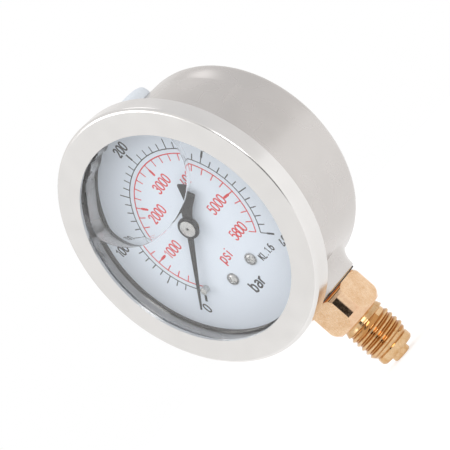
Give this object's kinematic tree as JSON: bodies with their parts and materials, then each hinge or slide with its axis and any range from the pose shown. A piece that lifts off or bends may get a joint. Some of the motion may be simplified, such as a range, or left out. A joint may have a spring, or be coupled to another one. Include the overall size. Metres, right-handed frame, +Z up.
{
  "type": "pressure gauge",
  "caption": "Round liquid-filled dial pressure gauge: steel case, wide bezel, bar and psi scale, brass stem below, bourdon tube movement inside.",
  "frame": {"origin": "on the stem axis, on the end face of the connection thread", "axes": "+Z up the stem to the case, -Y out of the dial, +X to the right as the dial is read"},
  "size_m": [0.0734, 0.032, 0.0961],
  "materials": {
    "steel": "satin stainless sheet",
    "bezel_steel": "satin stainless sheet, paler",
    "glass": "clear flat window",
    "gasket": "grey nitrile",
    "plug_rubber": "pale blue-grey rubber",
    "brass": "turned and milled",
    "black_rubber": "matte",
    "screw_steel": "turned",
    "bronze": "drawn bronze",
    "brass_inner": "stamped",
    "dial_white": "matt white paint, printed scale",
    "pointer_black": "matt black"
  },
  "bodies": {
    "housing": {"case": "steel", "bezel": "bezel_steel", "window": "glass", "window_gasket": "gasket", "stem": "brass", "stem_seal": "black_rubber", "restrictor_screw": "screw_steel", "bourdon_tube": "bronze", "back_plate": "brass_inner", "front_plate": "brass_inner", "pillar_left": "brass_inner", "pillar_right": "brass_inner", "pillar_top": "brass_inner", "plate_screw_left": "screw_steel", "plate_screw_right": "screw_steel", "hairspring_stud": "brass_inner", "dial": "dial_white", "dial_ring": "black_rubber", "dial_screw_left": "screw_steel", "dial_screw_right": "screw_steel", "stop_pin": "screw_steel"},
    "plug": {"filler_plug": "plug_rubber"},
    "pointer": {"pointer_blade": "pointer_black", "pointer_hub": "screw_steel", "pointer_cap": "pointer_black", "pinion": "screw_steel", "pinion_arbor": "screw_steel", "hairspring_collet": "brass_inner", "hairspring": "bronze"},
    "sector": {"sector_gear": "brass_inner", "sector_arbor": "screw_steel", "sector_pin": "screw_steel"},
    "tip": {"tube_tip": "brass_inner", "tip_pin": "screw_steel"},
    "link": {"link": "screw_steel"}
  },
  "joints": [
    {"name": "pointer_turn", "type": "hinge", "parent": "housing", "child": "pointer", "pos_m": [0, -0.0117, 0.0589], "axis": [0, 1, 0], "range_deg": [0, 262.5], "deforming": ["hairspring"]},
    {"name": "sector_swing", "type": "hinge", "parent": "housing", "child": "sector", "pos_m": [0.01114, -0.0044, 0.04776], "axis": [0, -1, 0], "range_deg": [0, 32.82]},
    {"name": "tip_flex", "type": "hinge", "parent": "housing", "child": "tip", "pos_m": [-0.00464, 0.0026, 0.06373], "axis": [0, -1, 0], "range_deg": [0, 6.9], "deforming": ["bourdon_tube"]},
    {"name": "link_swing", "type": "hinge", "parent": "tip", "child": "link", "pos_m": [0.01796, -0.00355, 0.05284], "axis": [0, 1, 0], "range_deg": [0, 8.89]},
    {"name": "plug_pull", "type": "slide", "parent": "housing", "child": "plug", "axis": [0, 0, 1], "range_m": [0, 0.012]}
  ],
  "couplings": [
    {"joint": "sector_swing", "follows": "pointer_turn", "ratio": 0.125},
    {"joint": "tip_flex", "follows": "pointer_turn", "ratio": 0.026249},
    {"joint": "link_swing", "follows": "pointer_turn", "ratio": 0.03384}
  ]
}
